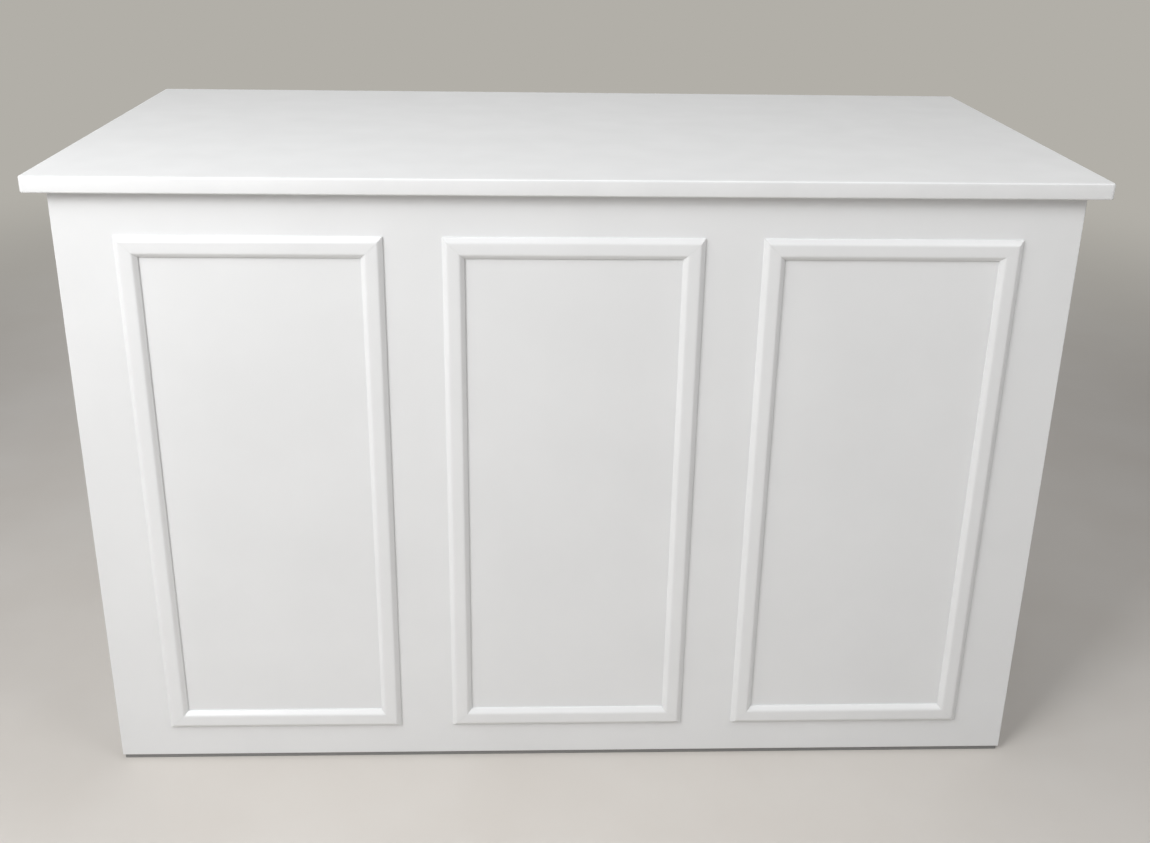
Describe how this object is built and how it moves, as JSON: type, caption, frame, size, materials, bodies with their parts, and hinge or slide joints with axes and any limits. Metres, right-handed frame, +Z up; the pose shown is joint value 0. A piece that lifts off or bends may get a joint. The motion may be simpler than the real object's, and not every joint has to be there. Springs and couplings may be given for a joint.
{
  "type": "folding portable bar",
  "caption": "White folding bar: framed front panel on a shelved carcass, hinged side wings that fold flat behind it, and an overhanging counter top that lifts off.",
  "frame": {"origin": "on the floor under the middle of the counter top", "axes": "+X to the right seen from the guests' side, along the bar's width; +Y from the panelled front to the service side; +Z up"},
  "size_m": [1.6, 0.76, 1.04],
  "materials": {
    "counter_lacquer": "white satin lacquer on a solid board",
    "front_paint": "white satin paint on board",
    "moulding_paint": "white satin paint on wooden moulding",
    "inside_paint": "white matt paint on board",
    "hinge_steel": "zinc-plated steel",
    "pin_steel": "bright steel wire",
    "strike_steel": "zinc-plated steel",
    "catch_plastic": "moulded light grey plastic",
    "foot_rubber": "matt grey rubber",
    "glide_nylon": "moulded dark grey nylon"
  },
  "bodies": {
    "carcass": {"front_panel": "front_paint", "left_frame_bottom": "moulding_paint", "left_frame_right": "moulding_paint", "left_frame_top": "moulding_paint", "left_frame_left": "moulding_paint", "centre_frame_bottom": "moulding_paint", "centre_frame_right": "moulding_paint", "centre_frame_top": "moulding_paint", "centre_frame_left": "moulding_paint", "right_frame_bottom": "moulding_paint", "right_frame_right": "moulding_paint", "right_frame_top": "moulding_paint", "right_frame_left": "moulding_paint", "left_return": "front_paint", "right_return": "front_paint", "bottom_board": "inside_paint", "middle_shelf": "inside_paint", "rear_stretcher": "inside_paint", "lower_divider": "inside_paint", "upper_divider": "inside_paint", "bottom_front_cleat": "inside_paint", "bottom_left_cleat": "inside_paint", "bottom_right_cleat": "inside_paint", "shelf_front_cleat": "inside_paint", "shelf_left_cleat": "inside_paint", "shelf_right_cleat": "inside_paint", "left_carcass_leaf": "hinge_steel", "right_carcass_leaf": "hinge_steel", "left_hinge_pin": "pin_steel", "right_hinge_pin": "pin_steel", "left_catch": "catch_plastic", "right_catch": "catch_plastic", "panel_foot_strip": "foot_rubber", "left_return_glide": "glide_nylon", "right_return_glide": "glide_nylon"},
    "left_wing": {"left_wing_panel": "front_paint", "left_wing_leaf": "hinge_steel", "left_strike_plate": "strike_steel", "left_wing_front_glide": "glide_nylon", "left_wing_back_glide": "glide_nylon"},
    "right_wing": {"right_wing_panel": "front_paint", "right_wing_leaf": "hinge_steel", "right_strike_plate": "strike_steel", "right_wing_front_glide": "glide_nylon", "right_wing_back_glide": "glide_nylon"},
    "counter": {"counter_top": "counter_lacquer", "front_batten": "inside_paint", "left_batten": "inside_paint", "right_batten": "inside_paint"}
  },
  "joints": [
    {"name": "left_wing_fold", "type": "hinge", "parent": "carcass", "child": "left_wing", "pos_m": [-0.7482, -0.134, 0.5], "axis": [0, 0, -1], "range_deg": [0, 90]},
    {"name": "right_wing_fold", "type": "hinge", "parent": "carcass", "child": "right_wing", "pos_m": [0.7482, -0.134, 0.5], "axis": [0, 0, 1], "range_deg": [0, 90]},
    {"name": "top_lift", "type": "slide", "parent": "carcass", "child": "counter", "axis": [0, 0, 1], "range_m": [0, 0.3]}
  ]
}
